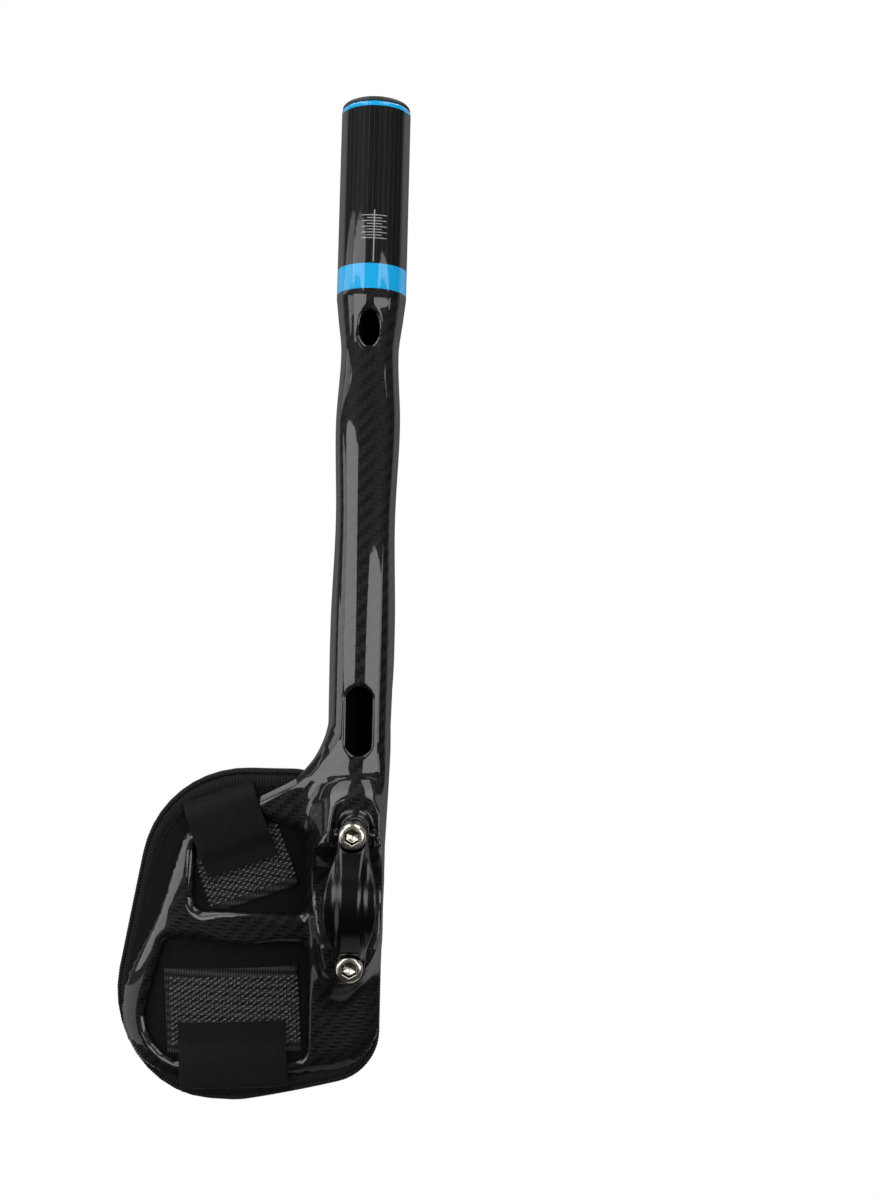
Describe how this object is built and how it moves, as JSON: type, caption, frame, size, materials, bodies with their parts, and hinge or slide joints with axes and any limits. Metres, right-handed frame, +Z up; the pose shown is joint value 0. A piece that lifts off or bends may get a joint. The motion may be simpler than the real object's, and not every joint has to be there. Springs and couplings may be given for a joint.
{
  "type": "aero handlebar extension",
  "caption": "Short carbon clip-on handlebar extension with a clamp, a raised grip tube and a windowed armrest that carries a strapped pad.",
  "frame": {"origin": "centre of the handlebar clamp", "axes": "+X along the handlebar, outboard; +Y forward to the grip's tip; +Z up, pad on top"},
  "size_m": [0.0945, 0.3436, 0.0781],
  "materials": {
    "carbon": "clear-coated twill carbon",
    "black_aluminium": "satin black anodised",
    "stainless_steel": "polished",
    "insert_aluminium": "machined",
    "pad_fabric": "knitted cover",
    "binding_tape": "ribbed tape",
    "strap_webbing": "smooth woven",
    "hook_tape": "nylon hooks",
    "plug_rubber": "moulded"
  },
  "bodies": {
    "root": {"extension_body": "carbon", "clamp_cap": "black_aluminium", "front_clamp_bolt": "stainless_steel", "rear_clamp_bolt": "stainless_steel", "front_thread_insert": "insert_aluminium", "rear_thread_insert": "insert_aluminium", "arm_pad": "pad_fabric", "pad_edge_binding": "binding_tape", "front_strap": "strap_webbing", "rear_strap": "strap_webbing", "front_hook_patch": "hook_tape", "rear_hook_patch": "hook_tape", "end_plug": "plug_rubber"}
  },
  "joints": []
}
